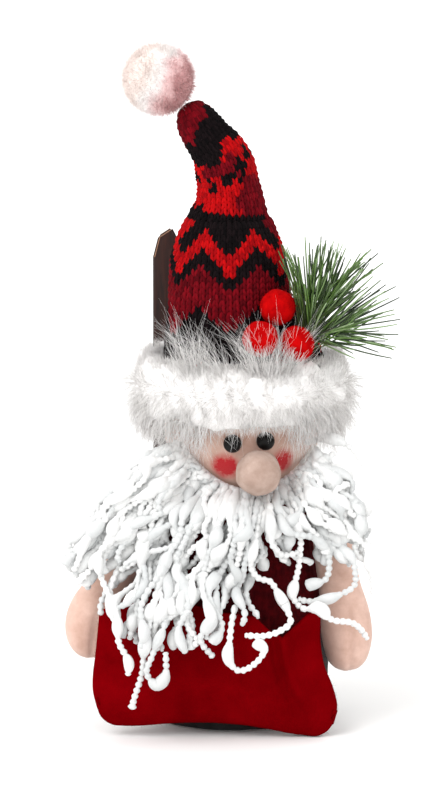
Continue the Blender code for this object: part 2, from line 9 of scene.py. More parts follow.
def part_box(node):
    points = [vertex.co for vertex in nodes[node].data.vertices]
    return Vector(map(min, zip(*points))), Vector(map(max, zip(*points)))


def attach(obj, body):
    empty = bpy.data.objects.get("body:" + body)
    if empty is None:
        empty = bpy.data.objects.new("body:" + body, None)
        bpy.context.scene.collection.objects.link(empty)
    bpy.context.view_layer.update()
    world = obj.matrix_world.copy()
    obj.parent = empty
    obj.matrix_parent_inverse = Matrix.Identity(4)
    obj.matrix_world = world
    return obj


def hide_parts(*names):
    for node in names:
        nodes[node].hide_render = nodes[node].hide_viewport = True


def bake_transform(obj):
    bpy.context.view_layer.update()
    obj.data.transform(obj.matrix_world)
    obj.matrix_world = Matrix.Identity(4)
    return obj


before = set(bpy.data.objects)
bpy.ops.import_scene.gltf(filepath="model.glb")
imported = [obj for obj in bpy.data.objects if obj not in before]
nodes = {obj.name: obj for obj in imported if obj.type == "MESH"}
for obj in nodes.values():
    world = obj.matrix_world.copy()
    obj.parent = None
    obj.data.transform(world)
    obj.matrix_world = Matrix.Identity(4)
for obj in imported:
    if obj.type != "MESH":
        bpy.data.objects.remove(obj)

noise.seed_set(7)  # or the ragged edges in the hat's pattern would change from run to run

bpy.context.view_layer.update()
mm = 0.001


# Colours, nodes and finishes

def linear(hexCode):
    channels = [int(hexCode[at:at + 2], 16) / 255.0 for at in (1, 3, 5)]
    return tuple(c / 12.92 if c <= 0.04045 else ((c + 0.055) / 1.055) ** 2.4 for c in channels) + (1.0,)


def perMetre(sizeMm):
    return 1000.0 / sizeMm


def addNode(tree, kind, settings=None, links=None, into=None):
    # into is a socket that the node's first output feeds
    made = tree.nodes.new("ShaderNode" + kind)
    for name, value in (settings or {}).items():
        if name == "stops":
            ramp = made.color_ramp
            while len(ramp.elements) < len(value):
                ramp.elements.new(0.5)
            for stop, (at, colour) in zip(ramp.elements, value):
                stop.position = at
                stop.color = linear(colour)
        elif isinstance(name, str) and name in made.bl_rna.properties:
            setattr(made, name, value)
        else:
            made.inputs[name].default_value = value
    for name, source in (links or {}).items():
        tree.links.new(source, made.inputs[name])
    if into:
        tree.links.new(made.outputs[0], into)
    return made


def startFinish(name, roughness, **sockets):
    made = bpy.data.materials.new(name)
    made.use_nodes = True
    tree = made.node_tree
    shader = tree.nodes["Principled BSDF"]
    shader.inputs["Roughness"].default_value = roughness
    for socket, value in sockets.items():
        shader.inputs[socket.replace("_", " ")].default_value = value
    return made, tree, shader, addNode(tree, "TexCoord").outputs["Object"]


def fibreFinish(name, colours, patchMm, fibreMm, depthMm, roughness=0.95, sheen=0.25, perStrand=False,
                shine=0.1):
    # wool, felt and yarn: cloudy colour in soft patches, with a matt fibrous surface under it
    # loose fibres scatter light, so they hardly mirror
    made, tree, shader, place = startFinish(name, roughness, Sheen_Weight=sheen, Sheen_Roughness=0.6,
                                            Specular_IOR_Level=shine)
    cloud = addNode(tree, "TexNoise", {"Scale": perMetre(patchMm), "Detail": 4.0, "Roughness": 0.6},
                    {"Vector": place})
    share = cloud.outputs["Fac"]
    if perStrand:  # each strand is a little lighter or darker than the next
        strand = addNode(tree, "NewGeometry").outputs["Random Per Island"]
        mixed = addNode(tree, "Mix", {"data_type": "FLOAT", "Factor": 0.5}, {2: share, 3: strand})
        share = mixed.outputs[0]
    last = len(colours) - 1
    stops = [(0.25 + 0.5 * i / last, colour) for i, colour in enumerate(colours)]
    addNode(tree, "ValToRGB", {"stops": stops}, {"Fac": share}, shader.inputs["Base Color"])
    fibre = addNode(tree, "TexNoise", {"Scale": perMetre(fibreMm), "Detail": 5.0, "Roughness": 0.7,
                                       "Distortion": 0.8}, {"Vector": place})
    addNode(tree, "Bump", {"Strength": 0.6, "Distance": depthMm * mm}, {"Height": fibre.outputs["Fac"]},
            shader.inputs["Normal"])
    return made


def brushedFleece():
    # polyester fleece in flesh colour, a soft nap with rouge rubbed into both cheeks
    look = {"cheeks": ((-4.2, -31.0, 115.0), (21.5, -28.5, 116.0)), "rougeReach": 8.4,
            "skin": ("#c29b8a", "#dfbdae"), "rouge": "#b8141e"}
    made = fibreFinish("brushedFleece", look["skin"], 7.0, 0.7, 0.25, 0.95, 0.3)
    tree = made.node_tree
    shader = tree.nodes["Principled BSDF"]
    place = addNode(tree, "TexCoord").outputs["Object"]
    ragged = addNode(tree, "TexNoise", {"Scale": perMetre(3.0), "Detail": 3.0}, {"Vector": place})
    colour = shader.inputs["Base Color"].links[0].from_socket
    for cheek in look["cheeks"]:
        away = addNode(tree, "VectorMath", {"operation": "DISTANCE", 1: Vector(cheek) * mm}, {0: place})
        near = addNode(tree, "MapRange",
                       {"interpolation_type": "SMOOTHSTEP", "From Min": look["rougeReach"] * mm,
                        "From Max": 0.3 * look["rougeReach"] * mm}, {"Value": away.outputs["Value"]})
        rubbed = addNode(tree, "Math", {"operation": "MULTIPLY"},
                         {0: near.outputs[0], 1: ragged.outputs["Fac"]})
        strong = addNode(tree, "Math", {"operation": "MULTIPLY", 1: 2.5, "use_clamp": True},
                         {0: rubbed.outputs[0]})
        mixed = addNode(tree, "Mix", {"data_type": "RGBA", 7: linear(look["rouge"])},
                        {"Factor": strong.outputs[0], 6: colour})
        colour = mixed.outputs[2]
    tree.links.new(colour, shader.inputs["Base Color"])
    return made


def pompomPlush():
    # acrylic plush, nearly white on the left; its darker, pinker tone towards the right side and below is
    # painted shade, away from the key light
    made, tree, shader, place = startFinish("pompomPlush", 0.9, Sheen_Weight=0.3)
    middle = sum((Vector(c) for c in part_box("pompom")), Vector()) / 2
    away = addNode(tree, "VectorMath", {"operation": "SUBTRACT", 1: middle}, {0: place})
    # painted shade: the tone darkens and turns pink along this slant, to the right and down
    lean = addNode(tree, "VectorMath", {"operation": "DOT_PRODUCT", 1: (55.0, 0.0, -22.0)},
                   {0: away.outputs[0]})
    cloud = addNode(tree, "TexNoise", {"Scale": perMetre(9.0), "Detail": 3.0}, {"Vector": place})
    shadeAndCloud = addNode(tree, "Math", {"operation": "ADD"}, {0: lean.outputs["Value"], 1: cloud.outputs["Fac"]})
    stops = [(0.1, "#f0e3dd"), (0.45, "#f3efed"), (0.8, "#ecc9c8"), (1.0, "#c38f8f")]
    addNode(tree, "ValToRGB", {"stops": stops}, {"Fac": shadeAndCloud.outputs[0]}, shader.inputs["Base Color"])
    return made


def needlePvc():
    # cut PVC film needles: slightly glossy, each one its own green, some greyed and pale
    made, tree, shader, place = startFinish("needlePvc", 0.42)
    strand = addNode(tree, "NewGeometry").outputs["Random Per Island"]
    streak = addNode(tree, "TexNoise", {"Scale": perMetre(4.0)}, {"Vector": place})
    mixed = addNode(tree, "Mix", {"data_type": "FLOAT", "Factor": 0.3},
                    {2: strand, 3: streak.outputs["Fac"]})
    stops = [(0.12, "#1c2a1a"), (0.38, "#33491f"), (0.6, "#54752f"), (0.85, "#90a87c")]
    addNode(tree, "ValToRGB", {"stops": stops}, {"Fac": mixed.outputs[0]}, shader.inputs["Base Color"])
    return made


def stainedPine(name, dark, light):
    # pine board under dark brown stain and a thin satin lacquer: straight grain along its height
    made, tree, shader, place = startFinish(name, 0.42, Coat_Weight=0.06, Specular_IOR_Level=0.3)
    stretched = addNode(tree, "Mapping", {"Scale": (1.0, 1.0, 0.06)}, {"Vector": place})
    grain = addNode(tree, "TexNoise", {"Scale": perMetre(1.6), "Detail": 6.0, "Distortion": 0.6},
                    {"Vector": stretched.outputs[0]})
    addNode(tree, "ValToRGB", {"stops": [(0.3, dark), (0.7, light)]}, {"Fac": grain.outputs["Fac"]},
            shader.inputs["Base Color"])
    addNode(tree, "Bump", {"Strength": 0.4, "Distance": 0.2 * mm}, {"Height": grain.outputs["Fac"]},
            shader.inputs["Normal"])
    return made


def mottledFinish(name, roughness, patchMm, detail, stops, **sockets):
    # a hard surface whose colour varies a little from patch to patch
    made, tree, shader, place = startFinish(name, roughness, **sockets)
    cloud = addNode(tree, "TexNoise", {"Scale": perMetre(patchMm), "Detail": detail}, {"Vector": place})
    addNode(tree, "ValToRGB", {"stops": stops}, {"Fac": cloud.outputs["Fac"]}, shader.inputs["Base Color"])
    return made


# a fibre under 0.5 mm doesn't show at this size, so the naps below are drawn that coarse
# colours, then patch, fibre and fibre depth in mm, roughness, sheen, a tone for each strand, mirror shine
fibres = {
    # matt acrylic knitting yarn, dyed; each leg of a stitch catches the light a little differently
    "yarnBlack": (("#060405", "#150d0f"), 2.4, 0.5, 0.35, 1.0, 0.0, True),
    "yarnBright": (("#860309", "#b8080c"), 2.4, 0.5, 0.35, 1.0, 0.0, True),
    "yarnDeep": (("#4a020a", "#740613"), 2.4, 0.5, 0.35, 1.0, 0.0, True),
    # the knit's back is near black under every yarn colour: painted shade in the gaps between stitches
    "knitGapShade": (("#080203", "#1a0306"), 2.4, 0.5, 0.3, 1.0, 0.0),
    # the body's red is a darker copy of the bag's red, as painted shade where it lies behind the beard and
    # arms
    "shadedSweaterWool": (("#2e0207", "#5a060d"), 3.0, 0.6, 0.3, 1.0, 0.0),
    # long-pile white acrylic fur, and white slub yarn
    # the fur's greyer patches are painted shade between its clumps
    "longFur": (("#d6d3d0", "#f2f0ef"), 6.0, 0.7, 0.2, 0.9, 0.2, True),
    "slubYarn": (("#cdcfcf", "#ebebea"), 4.0, 0.6, 0.35, 0.95, 0.1, True),
    # pressed wool felt: cloudy colour, no weave, faint lint
    "pressedFelt": (("#620004", "#790107"), 14.0, 0.6, 0.3, 1.0, 0.0, False, 0.0),
    "berryFelt": (("#970206", "#c40808"), 3.5, 0.6, 0.4, 1.0, 0.0, False, 0.03),
    "noseFelt": (("#9f8578", "#bda599"), 5.0, 0.6, 0.35, 1.0, 0.08),
    # the base is a real felt part, and its charcoal seen under the bag also stands in for the contact shadow
    # there: painted shade
    "charcoalFelt": (("#161515", "#2c2a2a"), 6.0, 0.6, 0.3, 1.0, 0.05),
    # what is inside: woven tape, crimped fill, pressed board and the pellet bag's cloth
    "cottonTape": (("#dcd8d2", "#f2efea"), 2.0, 0.5, 0.2),
    "polyesterFill": (("#e9e8e4", "#fbfaf7"), 5.0, 0.8, 0.8),
    "greyBoard": (("#8f857a", "#b1a79a"), 2.5, 0.5, 0.1),
    "pelletCotton": (("#cfc9bf", "#e7e2d8"), 2.5, 0.5, 0.5),
}
finish = {name: fibreFinish(name, *look) for name, look in fibres.items()}
for made in (
    brushedFleece(), pompomPlush(), needlePvc(),
    # the second, lighter copy is a painted highlight for the plank's top slope that faces the key light
    stainedPine("stainedPine", "#1d0b08", "#36180f"), stainedPine("plankLitSlope", "#7d5a45", "#a17a60"),
    # moulded black acrylic, worn a little matt
    mottledFinish("blackBead", 0.42, 1.2, 4.0, [(0.3, "#060505"), (0.8, "#121111")], Specular_IOR_Level=0.2),
    # drawn steel wire with a dull zinc skin
    mottledFinish("galvanisedWire", 0.35, 0.8, 2.0, [(0.3, "#8f8f8c"), (0.7, "#bdbdb8")], Metallic=1.0),
):
    finish[made.name] = made
print("finishes made:", len(finish))


# Mesh helpers

def addObject(name, data):
    made = bpy.data.objects.new(name, data)
    bpy.context.scene.collection.objects.link(made)
    return made


def addPiece(name, mesh, body, replaced):
    piece = addObject(name, mesh)
    if body:
        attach(piece, body)
    if replaced:
        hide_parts(*replaced)
    return piece


def makePiece(name, parts, finishes, body, replaced=()):
    # parts is a list of (corners, list of face arrays, finish number or one number for each face)
    corners, faces, ids, start = [], [], [], 0
    for points, faceSets, which in parts:
        corners.append(points)
        count = 0
        for faceSet in faceSets:
            faces += (np.asarray(faceSet) + start).tolist()
            count += len(faceSet)
        ids.append(np.full(count, which) if np.isscalar(which) else np.asarray(which))
        start += len(points)
    mesh = bpy.data.meshes.new(name)
    mesh.from_pydata(np.concatenate(corners).tolist(), [], faces)
    for used in finishes:
        mesh.materials.append(finish[used])
    mesh.polygons.foreach_set("material_index", np.concatenate(ids).astype(np.int32))
    mesh.shade_smooth()
    return addPiece(name, mesh, body, replaced)


def unit(rows):
    return rows / (np.linalg.norm(rows, axis=-1, keepdims=True) + 1e-12)


def strands(paths, radii, sides=3, which=0):
    # paths is (strands, points, 3); each strand is a closed tapering tube
    count, points = paths.shape[:2]
    way = unit(np.gradient(paths, axis=1))
    first = np.cross(way[:, 0], (0.0, 0.0, 1.0))
    flat = np.linalg.norm(first, axis=1) < 0.2
    first[flat] = np.cross(way[flat, 0], (1.0, 0.0, 0.0))
    side = np.zeros_like(paths)
    side[:, 0] = unit(first)
    for k in range(1, points):
        carried = side[:, k - 1] - way[:, k] * (side[:, k - 1] * way[:, k]).sum(-1, keepdims=True)
        side[:, k] = unit(carried)
    up = np.cross(way, side)
    turn = 2 * math.pi * np.arange(sides) / sides
    ring = side[:, :, None] * np.cos(turn)[:, None] + up[:, :, None] * np.sin(turn)[:, None]
    corners = (paths[:, :, None] + ring * radii[:, :, None, None]).reshape(-1, 3)
    grid = np.arange(count * points * sides).reshape(count, points, sides)
    beside = np.roll(grid, -1, axis=2)
    quads = np.stack([grid[:, :-1], beside[:, :-1], beside[:, 1:], grid[:, 1:]], -1).reshape(-1, 4)
    caps = np.concatenate([grid[:, 0, ::-1], grid[:, -1]])
    if not np.isscalar(which):  # one finish number for each strand
        which = np.concatenate([np.repeat(which, (points - 1) * sides), which, which])
    return corners, [quads, caps], which


def skin(rings, wrap=False, which=0):
    # rings is (rows, corners round, 3); wrap joins the last row to the first, as a wall's lining does
    rows, around = rings.shape[:2]
    grid = np.arange(rows * around).reshape(rows, around)
    beside = np.roll(grid, -1, axis=1)
    quads = np.stack([grid[:-1], beside[:-1], beside[1:], grid[1:]], -1).reshape(-1, 4)
    faceSets = [quads]
    if wrap:
        faceSets.append(np.stack([grid[-1], beside[-1], beside[0], grid[0]], -1))
    else:
        faceSets += [[grid[0, ::-1]], [grid[-1]]]
    return rings.reshape(-1, 3), faceSets, which


def smoothLine(points, step=None, count=None):
    # a smooth curve through the points, at an even step in metres or with a given number of points
    points = np.asarray(points, float)
    padded = np.vstack([2 * points[0] - points[1], points, 2 * points[-1] - points[-2]])
    dense = []
    for a, b, c, d in zip(padded[:-3], padded[1:-2], padded[2:-1], padded[3:]):
        t = np.linspace(0, 1, 16, endpoint=False)[:, None]
        dense.append(0.5 * (2 * b + (c - a) * t + (2 * a - 5 * b + 4 * c - d) * t ** 2
                            + (3 * b - a - 3 * c + d) * t ** 3))
    dense = np.vstack(dense + [points[-1:]])
    run = np.concatenate([[0], np.cumsum(np.linalg.norm(np.diff(dense, axis=0), axis=1))])
    count = count or max(6, int(run[-1] / step))
    return np.stack([np.interp(np.linspace(0, run[-1], count), run, dense[:, k])
                     for k in range(points.shape[1])], -1)


def roughen(points, outs, sizeMm, depthMm, seed=0.0):
    shift = Vector((seed, 3.1 * seed, 7.7 * seed))
    push = np.array([noise.noise(Vector(p) * perMetre(sizeMm) + shift) for p in points])
    return points + outs * (push * depthMm * mm)[:, None]


def roundForm(centre, radii, segments=40, rows=28, roughMm=(6.0, 0.3), seed=1.0):
    # a ball or egg with a slightly uneven, stuffed surface
    lift = np.linspace(-math.pi / 2 + 0.04, math.pi / 2 - 0.04, rows)
    turn = 2 * math.pi * np.arange(segments) / segments
    out = np.stack([np.outer(np.cos(lift), np.cos(turn)), np.outer(np.cos(lift), np.sin(turn)),
                    np.repeat(np.sin(lift)[:, None], segments, 1)], -1).reshape(-1, 3)
    points = np.array(centre) + out * np.array(radii)
    points = roughen(points, out, roughMm[0], roughMm[1], seed)
    return skin(points.reshape(rows, segments, 3))


def ballPoints(count, seed):
    # an even scatter of directions over a whole ball
    draw = np.random.default_rng(seed)
    index = np.arange(count) + 0.5
    lift = 1 - 2 * index / count
    turn = index * math.pi * (3 - math.sqrt(5)) + draw.normal(0, 0.05, count)
    level = np.sqrt(1 - lift ** 2)
    return np.stack([level * np.cos(turn), level * np.sin(turn), lift], -1)


def hairs(roots, ways, lengths, bend, thickMm, points=6, wave=0.08, seed=5):
    # tapering hairs that start along ways and are bent over by the vector bend
    draw = np.random.default_rng(seed)
    t = np.linspace(0, 1, points)[None, :, None]
    length = lengths[:, None, None]
    sway = draw.normal(0, wave, (len(roots), 1, 3)) * np.sin(t * math.pi * 1.5)
    paths = roots[:, None] + (unit(ways)[:, None] * t + bend[:, None] * t ** 2 + sway) * length
    taper = (1 - 0.85 * np.linspace(0, 1, points) ** 1.5) * thickMm / 2 * mm
    return paths, np.repeat(taper[None], len(roots), 0)


# Camera, light and floor

def setStage():
    view = {"target": (-4.7, 0.0, 138.8), "distance": 1900.0, "lens": 198.8, "elevation": 10.0}
    lift = math.radians(view["elevation"])
    camera = addObject("camera", bpy.data.cameras.new("camera"))
    back = Vector((0.0, -math.cos(lift), math.sin(lift)))
    camera.location = Vector(view["target"]) * mm + back * view["distance"] * mm
    camera.rotation_euler = (-back).to_track_quat("-Z", "Y").to_euler()
    camera.data.lens = view["lens"]
    camera.data.sensor_width = 36.0
    camera.data.clip_start = 0.05
    bpy.context.scene.camera = camera

    lamps = {  # from where, strength, and how wide the light is in degrees
        "keySoftbox": ((-0.75, -0.75, 1.0), 1.3, 40.0),
        "fillSoftbox": ((1.0, -0.9, 0.45), 0.35, 70.0),
        "backSoftbox": ((0.2, 0.9, 0.8), 0.5, 60.0),
    }
    for name, (place, strength, width) in lamps.items():
        lamp = bpy.data.lights.new(name, "SUN")
        lamp.energy = strength
        lamp.angle = math.radians(width)
        addObject(name, lamp).rotation_euler = (-Vector(place)).to_track_quat("-Z", "Y").to_euler()

    world = bpy.data.worlds.new("studio")
    world.use_nodes = True
    sky = world.node_tree.nodes["Background"].inputs
    sky["Color"].default_value = linear("#ffffff")
    sky["Strength"].default_value = 0.78
    bpy.context.scene.world = world
    bpy.context.scene.view_settings.view_transform = "Standard"
    bpy.context.scene.view_settings.exposure = 0.38

    form = bmesh.new()
    bmesh.ops.create_grid(form, x_segments=2, y_segments=2, size=6.0)
    mesh = bpy.data.meshes.new("studioFloor")
    form.to_mesh(mesh)
    form.free()
    # matt white painted studio board
    mesh.materials.append(mottledFinish("paintedFloor", 0.9, 1000 / 3, 2.0,
                                        [(0.0, "#f6f6f5"), (1.0, "#fbfbfa")]))
    addObject("studioFloor", mesh)


setStage()
print("camera, lamps and floor set")


# Hat

hat = {
    "lowerColumns": 54,
    "upperColumns": 36,
    "rowPitch": 2.45,
    "legWidth": 1.32,
    "zigzagMiddle": 203.4,
    "zigzagReach": 6.4,
    "zigzags": 6,
    "stairsFrom": 234,  # above this the back of the tip is striped in stairs
    # x of the middle, height and radius, in mm, up to the pinch and past it
    "lowerRows": ((3, 137, 35.6), (2.7, 151, 35.0), (1.2, 160, 32.8), (-1, 168.5, 29.2), (-2.2, 177, 26.1),
                  (-2.5, 187, 24.9), (-2.3, 200, 23.5), (-2.5, 209, 20.9), (-2.4, 218, 17.0)),
    "upperRows": ((-2.5, 214, 18.2), (-2.4, 218, 16.4), (-2.1, 222, 14.6), (-2.1, 226, 13.3),
                  (-3.0, 233, 12.1), (-4.4, 239.5, 11.9), (-7.3, 246, 10.6), (-11.0, 251, 9.2),
                  (-14.2, 255.5, 8.5), (-16.8, 260.0, 7.6), (-18.6, 263.6, 5.6), (-19.9, 266.0, 3.2),
                  (-20.4, 266.9, 1.2)),
    # patches of the tip's pattern seen from the front, first match first: left, right, low, high and yarn
    "tipPatches": ((-30, -16, 249, 273, 2), (-30, -12.5, 260, 273, 2), (-4.8, 3.2, 243, 252, 1),
                   (3.2, 6.0, 243, 247.5, 0), (3.2, 14, 236, 248.5, 1), (-0.6, 3.2, 236, 243, 0),
                   (-6.0, -0.6, 235.5, 243, 2), (-6.0, -1.3, 231.5, 235.5, 0), (-20, -14.6, 232.5, 237, 0),
                   (-20, -12.6, 237, 241, 1), (-12.6, -6.0, 234.5, 239.5, 2), (-10.8, -7.7, 228, 233, 0),
                   (-22, -10.8, 222, 236.6, 1), (1.7, 16, 218, 236, 2), (-12, 1.7, 218, 234, 1)),
}


def zigzag(turnDegrees):
    # 1 at a peak, -1 at a valley, straight between them; a valley faces the front
    part = (turnDegrees / (360.0 / hat["zigzags"])) % 1.0
    return 1 - 4 * abs(part - 0.5)


def yarnOf(turnDegrees, height, spot=None):
    # 0 black, 1 bright red, 2 deep red, by where the stitch is in the pattern; spot is a place on the tip
    turn = (turnDegrees + 180) % 360 - 180
    column = int(turn // (360.0 / hat["lowerColumns"]))
    side = min(max((abs(turn) - 36) / 38, 0), 1)
    bandEdge = 220.0 - 3.5 * math.exp(-(turn / 9) ** 2) - 12 * side
    if spot is not None:
        if height < bandEdge and abs(turn) < 90:
            return 0
        if abs(turn) < 100:
            # patches are laid out as they look from ten degrees above, with edges ragged by a stitch or so
            ragged = noise.noise_vector(Vector(spot) / 3.5) * 2.2
            across, level = spot[0] + ragged.x, spot[2] + 0.176 * spot[1] + ragged.z
            for left, right, low, high, yarn in hat["tipPatches"]:
                if left < across < right and low < level < high:
                    return yarn
            return 0
        if height < hat["stairsFrom"]:
            return 2
        rowUp = math.floor((height - hat["stairsFrom"]) / hat["rowPitch"])
        stair = int(math.floor(turn / 10.0) - rowUp) % 8
        return (1, 1, 1, 2, 0, 0, 0, 0)[stair]
    if height > bandEdge:
        return 2 if turn > -20 else 1
    above = height - hat["zigzagMiddle"] - hat["zigzagReach"] * zigzag(turn)
    if above > 3.8:
        return 0
    if above > -3.8:
        return 1
    if above > -10.6:
        return 0
    if height > 176.0 + 5.0 * zigzag(turn):
        return 2
    return 1 if column % 9 in (4, 5) and 153 < height < 160 + column % 2 * 2 else 0


def hatLine(rows):
    line = smoothLine(np.array(rows, float), step=0.5)
    centres = np.stack([line[:, 0], np.zeros(len(line)), line[:, 1]], -1)
    run = np.concatenate([[0], np.cumsum(np.linalg.norm(np.diff(centres, axis=0), axis=1))])
    return centres, line[:, 2], run


def hatPoint(line, along, turn, lift=0.0):
    # the point that far up the hat's line, at an angle round it from the front, lift mm off the knit
    centres, radii, run = line

    def middleAt(at):
        return np.stack([np.interp(at, run, centres[:, k]) for k in range(3)], -1)

    way = unit(middleAt(along + 0.5) - middleAt(along - 0.5))
    across = unit(np.cross((0.0, 1.0, 0.0), way))
    deep = np.cross(way, across)
    radius = np.interp(along, run, radii) + lift
    # soft hollows, so that the knit isn't a turned cone
    radius = radius * (1 + 0.018 * np.sin(3 * turn + along / 11.0) + 0.012 * np.sin(5 * turn - along / 7.0))
    out = across * np.sin(turn)[..., None] - deep * np.cos(turn)[..., None]
    return middleAt(along) + out * radius[..., None]


def stitches(rows, columns, upper, start):
    # two plump legs for each stitch, from start mm up the line
    line = hatLine(rows)
    last = line[2][-1]
    paths, yarns = [], []
    pitch = hat["rowPitch"]
    draw = np.random.default_rng(11 + columns)
    count = int((last - start) / pitch)
    for row in range(count):
        foot = start + row * pitch
        height = np.interp(foot, line[2], line[0][:, 2])
        for column in range(columns):
            step = 2 * math.pi / columns
            middle = (column + 0.5) * step
            spot = hatPoint(line, foot + pitch * 0.7, np.array(middle)) if upper else None
            yarn = yarnOf(math.degrees(middle), height, spot)
            for side in (-1, 1):
                t = np.array([-0.12, 0.15, 0.5, 0.85, 1.12])
                turn = middle + side * step * (0.08 + 0.36 * np.clip(t, 0, 1) ** 0.8)
                along = foot + pitch * 1.45 * t + draw.normal(0, 0.06)
                lift = np.array([-0.7, 0.25, 0.75, 0.45, -0.6]) + draw.normal(0, 0.08)
                paths.append(hatPoint(line, np.clip(along, 0, last), turn, lift))
                yarns.append(yarn)
    paths = np.array(paths) * mm
    across = 2 * math.pi * np.interp(start, line[2], line[1]) / columns
    plump = hat["legWidth"] / 2 * mm
    wide = np.array([0.62, 0.95, 1.08, 0.95, 0.6]) * plump
    scale = 1.0 if upper else min(1.15, across / 3.2)
    return strands(paths, np.repeat(wide[None] * scale, len(paths), 0), 6, np.array(yarns))


def makeHat():
    parts = [
        stitches(hat["lowerRows"], hat["lowerColumns"], False, 2.0),
        stitches(hat["upperRows"], hat["upperColumns"], True, 1.5),
    ]
    # the knit's back, which closes the gaps between stitches; its near-black colour is painted shade in
    # those gaps
    for rows in (hat["lowerRows"], hat["upperRows"]):
        line = hatLine(rows)
        turns, levels = np.meshgrid(2 * math.pi * np.arange(72) / 72, np.linspace(0, line[2][-1], 40))
        outer, inner = (hatPoint(line, levels, turns, lift) * mm for lift in (-0.35, -1.5))
        parts.append(skin(np.concatenate([outer, inner[::-1]]), wrap=True, which=3))
    piece = makePiece("knittedHat", parts, ("yarnBlack", "yarnBright", "yarnDeep", "knitGapShade"), None,
                      ("hat_knit_lower", "hat_knit_upper"))
    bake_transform(piece)


makeHat()
print("hat knitted")


# Pompom, brim and berries

def makePompom():
    look = {"core": 14.1, "hairs": 8000, "hairLength": 3.1, "hairWidth": 0.2}
    low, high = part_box("pompom")
    middle = np.array((low + high) / 2)
    core = roundForm(middle, [look["core"] * mm] * 3, roughMm=(5.0, 1.0))
    out = ballPoints(look["hairs"], 3)
    draw = np.random.default_rng(4)
    lengths = look["hairLength"] * mm * draw.uniform(0.6, 1.15, len(out))
    ways = out + draw.normal(0, 0.32, out.shape)
    paths, radii = hairs(middle + out * (look["core"] - 0.6) * mm, ways, lengths,
                         draw.normal(0, 0.22, out.shape), look["hairWidth"], 4)
    makePiece("plushPompom", [core, strands(paths, radii, 3)], ("pompomPlush",), "pompom_ball",
              ("pompom",))


def radialOf(turn):
    return np.stack([np.sin(turn), -np.cos(turn), np.zeros_like(turn)], -1)


def acrossOf(turn):
    return np.stack([np.cos(turn), np.sin(turn), np.zeros_like(turn)], -1)


def makeBrim():
    look = {"hairs": 11000, "hairWidth": 0.2, "wisps": 620, "wispWidth": 0.15}
    low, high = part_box("fur_brim")
    middle = np.array((low + high) / 2)
    halfHigh = (high.z - low.z) / 2
    halfThick = 4.7 * mm
    ringRadius = (high.x - low.x) / 2 - halfThick
    draw = np.random.default_rng(21)

    def onRing(turn, section, grow=1.0):
        level = ringRadius + halfThick * np.cos(section) * grow
        return middle + np.stack([level * np.sin(turn), -level * np.cos(turn),
                                  halfHigh * np.sin(section) * grow], -1)

    turns, sections = np.meshgrid(2 * math.pi * np.arange(120) / 120, -2 * math.pi * np.arange(28) / 28)
    points = onRing(turns, sections, 0.93).reshape(-1, 3)
    outs = unit(onRing(turns, sections, 1.2) - onRing(turns, sections, 1.0)).reshape(-1, 3)
    points = roughen(points, outs, 9.0, 4.2, 2.0)
    rings = points.reshape(28, 120, 3).transpose(1, 0, 2)
    base = skin(rings, wrap=True)

    turn = draw.uniform(-math.pi, math.pi, look["hairs"])
    front = draw.random(look["hairs"]) < 0.25  # denser where it is seen from the front
    turn[front] = draw.uniform(-1.5, 1.5, front.sum())
    section = draw.uniform(-1.9, 2.7, look["hairs"])
    roots = onRing(turn, section, 0.95)
    out = unit(onRing(turn, section, 1.2) - onRing(turn, section, 1.0))
    across = acrossOf(turn)
    rise = np.sin(section)[:, None] * np.array([0.0, 0.0, 1.0])
    clumps = np.sin(turn * 37 + 2.2 * np.sin(section * 3))[:, None]
    ways = out * 0.55 + rise * 0.75 + across * (0.35 * clumps + draw.normal(0, 0.28, (len(turn), 1)))
    ways += draw.normal(0, 0.14, ways.shape)
    lengths = draw.uniform(7.5, 13.0, len(turn)) * mm
    lengths *= np.where(section > 0.2, 0.36, 1.0)  # the pile lies flatter along the top
    overFace = (np.abs(turn - 0.1) < 0.42) & (section < -0.5)
    lengths[overFace] *= np.where(draw.random(overFace.sum()) < 0.01, 0.8, 0.36)
    besideFace = (np.abs(turn - 0.1) > 0.45) & (np.abs(turn - 0.1) < 1.1) & (section < -0.2)
    lengths[besideFace] *= 1.25
    lengths *= np.where(np.abs(turn) > 2.2, 0.7, 1.0)  # the pile is pressed flatter at the back
    bend = radialOf(turn) * draw.uniform(-0.1, 0.3, (len(turn), 1))
    bend += across * draw.normal(0, 0.2, (len(turn), 1))
    bend[:, 2] -= draw.uniform(0.0, 0.35, len(turn))
    paths, radii = hairs(roots, ways, lengths, bend, look["hairWidth"], 5)

    # long loose hairs: two tufts over the hat's left, two over the berries, and a few all along
    tuft = draw.choice(5, look["wisps"], p=(0.26, 0.12, 0.26, 0.2, 0.16))
    lock = draw.integers(0, 4, look["wisps"])  # hairs gather into a few locks in each tuft
    turn = np.choose(tuft, (-0.5, -0.22, 0.18, 0.42, 0.0)) + (lock - 1.5) * 0.055
    turn = turn + draw.normal(0, 0.022, look["wisps"])
    turn = np.where(tuft == 4, draw.uniform(-2.6, 1.6, look["wisps"]), turn)
    section = draw.uniform(0.7, 1.4, look["wisps"])
    roots = onRing(turn, section, 0.95)
    across = acrossOf(turn)
    lean = np.choose(tuft, (-0.15, -0.45, -0.1, 0.3, 0.0))[:, None] + (lock[:, None] - 1.5) * 0.12
    ways = np.array([0.0, 0.0, 1.0]) + radialOf(turn) * 0.12
    ways = ways + across * (lean + draw.normal(0, 0.1, (len(turn), 1)))
    lengths = np.choose(tuft, (30.0, 27.0, 27.0, 29.0, 9.0)) * draw.uniform(0.35, 1.05, len(turn)) * mm
    bend = across * (draw.normal(0, 0.16, (len(turn), 1)) + 0.8 * lean) - radialOf(turn) * 0.18
    bend[:, 2] -= draw.uniform(0.0, 0.22, len(turn))
    long, longRadii = hairs(roots, ways, lengths, bend, look["wispWidth"], 9)
    makePiece("furBrim", [base, strands(paths, radii, 3), strands(long, longRadii, 3)], ("longFur",),
              "root", ("fur_brim",))


